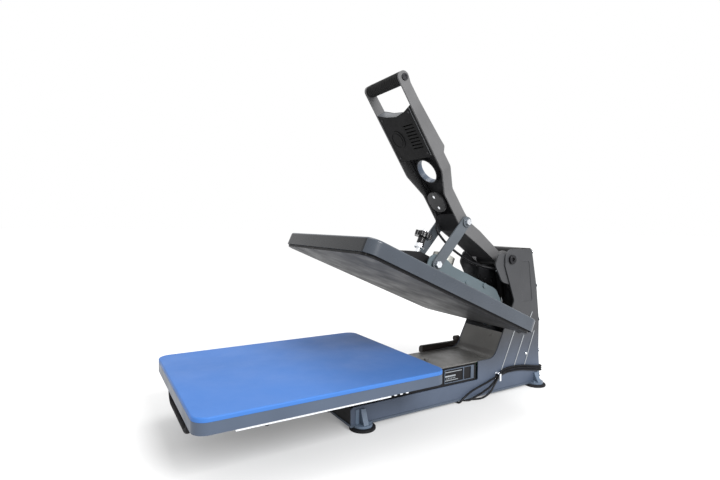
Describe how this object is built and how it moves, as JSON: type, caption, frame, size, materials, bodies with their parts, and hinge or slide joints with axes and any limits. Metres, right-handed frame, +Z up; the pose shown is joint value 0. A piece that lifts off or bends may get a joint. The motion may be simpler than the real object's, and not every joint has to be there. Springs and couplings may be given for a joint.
{
  "type": "heat press",
  "caption": "Clamshell heat press with a sliding lower platen, hinged upper platen, toggle lever with control box and magnetic catch",
  "frame": {"origin": "on the ground, under the middle of the footprint, at the centre plane", "axes": "+X to the operator's right, +Y from the operator towards the tower at the back, +Z up"},
  "size_m": [0.414, 0.958, 0.7856],
  "materials": {
    "charcoal_panel": "fine matt powder coat",
    "blue_grey_bed": "satin paint",
    "gloss_cover": "gloss dark blue-grey paint",
    "teal_carrier": "satin grey-green paint",
    "grey_lever": "matt grey powder coat",
    "black_metal": "matt black powder coat",
    "silicone_blue": "matt silicone",
    "black_rubber": "matt moulded rubber",
    "black_plastic": "moulded matt plastic",
    "cable_sheath": "smooth PVC sheath",
    "zinc": "bright zinc plate",
    "rail_steel": "drawn steel",
    "plate_aluminium": "grey non-stick coated cast aluminium",
    "strip_aluminium": "mill finish",
    "magnet_nickel": "dull nickel plate",
    "bronze": "sintered bronze",
    "element_steel": "oxidised steel sheath",
    "blanket": "woven ceramic fibre",
    "board_green": "solder mask",
    "display_glass": "gloss",
    "button_grey": "moulded",
    "switch_red": "moulded"
  },
  "bodies": {
    "base": {"side_panel_right": "charcoal_panel", "side_panel_left": "charcoal_panel", "floor_plate": "charcoal_panel", "front_crossbar": "charcoal_panel", "deck_panel": "charcoal_panel", "tower_back_cover": "charcoal_panel", "tower_top_cover": "black_metal", "axle_brackets": "black_metal", "lever_axle": "black_metal", "carrier_axle": "black_metal", "axle_spacers": "black_metal", "rubber_feet": "black_rubber", "foot_brackets": "charcoal_panel", "outer_rails": "black_metal", "tower_screws": "zinc", "control_board": "board_green", "inlet_plate": "black_plastic", "cable_trunk": "black_plastic", "cable_clip": "zinc", "side_leads": "cable_sheath", "tower_cable": "cable_sheath"},
    "switch": {"rocker_switch": "switch_red"},
    "gas_cylinders": {"gas_spring_cylinders": "black_metal"},
    "gas_rods": {"gas_spring_rods": "rail_steel"},
    "slide_middle": {"middle_rails": "rail_steel"},
    "drawer": {"lower_platen": "blue_grey_bed", "silicone_pad": "silicone_blue", "drawer_carriage": "black_metal", "inner_rails": "rail_steel", "drawer_handle": "black_metal", "edge_strips": "strip_aluminium", "strip_screws": "zinc"},
    "upper_platen": {"heat_cover": "gloss_cover", "heating_plate": "plate_aluminium", "heating_element": "element_steel", "insulation": "blanket", "carrier_channel": "teal_carrier", "spindle_seat": "black_metal", "electromagnet": "magnet_nickel", "carrier_bushes": "bronze", "link_pins": "zinc"},
    "knob": {"pressure_knob": "black_plastic", "knob_nut": "zinc"},
    "spindle": {"spindle": "zinc"},
    "lever": {"lever_side_plates": "grey_lever", "lever_web": "black_metal", "lever_hub": "black_metal", "hand_grip": "black_rubber", "lever_screws": "black_metal", "control_box": "black_plastic", "control_panel": "black_plastic", "display": "display_glass", "armature_disc": "black_metal", "lever_cables": "cable_sheath"},
    "start_button": {"button_start": "button_grey"},
    "up_button": {"button_up": "button_grey"},
    "down_button": {"button_down": "button_grey"},
    "set_button": {"button_set": "button_grey"},
    "links": {"link_bars": "teal_carrier", "knee_bolts": "zinc"}
  },
  "joints": [
    {"name": "drawer_slide", "type": "slide", "parent": "base", "child": "drawer", "axis": [0, 1, 0], "range_m": [0, 0.26]},
    {"name": "slide_middle_travel", "type": "slide", "parent": "base", "child": "slide_middle", "axis": [0, 1, 0], "range_m": [0, 0.13]},
    {"name": "platen_tilt", "type": "hinge", "parent": "base", "child": "upper_platen", "pos_m": [0, 0.383, 0.1655], "axis": [1, 0, 0], "range_deg": [0, 23.5], "stiffness_Nm_per_rad": 60, "springref_deg": -74.48},
    {"name": "lever_swing", "type": "hinge", "parent": "base", "child": "lever", "pos_m": [0, 0.35, 0.3515], "axis": [1, 0, 0], "range_deg": [0, 56.46]},
    {"name": "link_pivot", "type": "hinge", "parent": "upper_platen", "child": "links", "pos_m": [0, 0.11576, 0.34462], "axis": [1, 0, 0], "range_deg": [-44.92, 0]},
    {"name": "gas_cylinder_pivot", "type": "hinge", "parent": "base", "child": "gas_cylinders", "pos_m": [0, 0.401, 0.3325], "axis": [1, 0, 0], "range_deg": [-2.25, 0]},
    {"name": "gas_rod_slide", "type": "slide", "parent": "gas_cylinders", "child": "gas_rods", "axis": [0, 0.1832, -0.9831], "range_m": [-0.01886, 0]},
    {"name": "pressure_turn", "type": "hinge", "parent": "spindle", "child": "knob", "pos_m": [0, 0.10777, 0.41276], "axis": [0, 0.3987, 0.9171], "range_deg": [0, 721]},
    {"name": "spindle_travel", "type": "slide", "parent": "upper_platen", "child": "spindle", "axis": [0, 0.3987, 0.9171], "range_m": [0, 0.004]},
    {"name": "power_switch", "type": "hinge", "parent": "base", "child": "switch", "pos_m": [0, 0.467, 0.0425], "axis": [1, 0, 0], "range_deg": [-16, 0]},
    {"name": "start_press", "type": "slide", "parent": "lever", "child": "start_button", "axis": [0, -0.833, -0.5533], "range_m": [0, 0.0015], "stiffness_N_per_m": 400, "springref_m": -0.002},
    {"name": "up_press", "type": "slide", "parent": "lever", "child": "up_button", "axis": [0, -0.833, -0.5533], "range_m": [0, 0.0015], "stiffness_N_per_m": 400, "springref_m": -0.002},
    {"name": "down_press", "type": "slide", "parent": "lever", "child": "down_button", "axis": [0, -0.833, -0.5533], "range_m": [0, 0.0015], "stiffness_N_per_m": 400, "springref_m": -0.002},
    {"name": "set_press", "type": "slide", "parent": "lever", "child": "set_button", "axis": [0, -0.833, -0.5533], "range_m": [0, 0.0015], "stiffness_N_per_m": 400, "springref_m": -0.002}
  ],
  "couplings": [
    {"joint": "slide_middle_travel", "follows": "drawer_slide", "ratio": 0.5},
    {"joint": "lever_swing", "follows": "platen_tilt", "ratio": 2.4002},
    {"joint": "link_pivot", "follows": "platen_tilt", "ratio": -1.9098},
    {"joint": "gas_cylinder_pivot", "follows": "platen_tilt", "ratio": -0.095658},
    {"joint": "gas_rod_slide", "follows": "platen_tilt", "m_per_rad": -0.045957},
    {"joint": "pressure_turn", "follows": "spindle_travel", "rad_per_m": 3141.6}
  ]
}
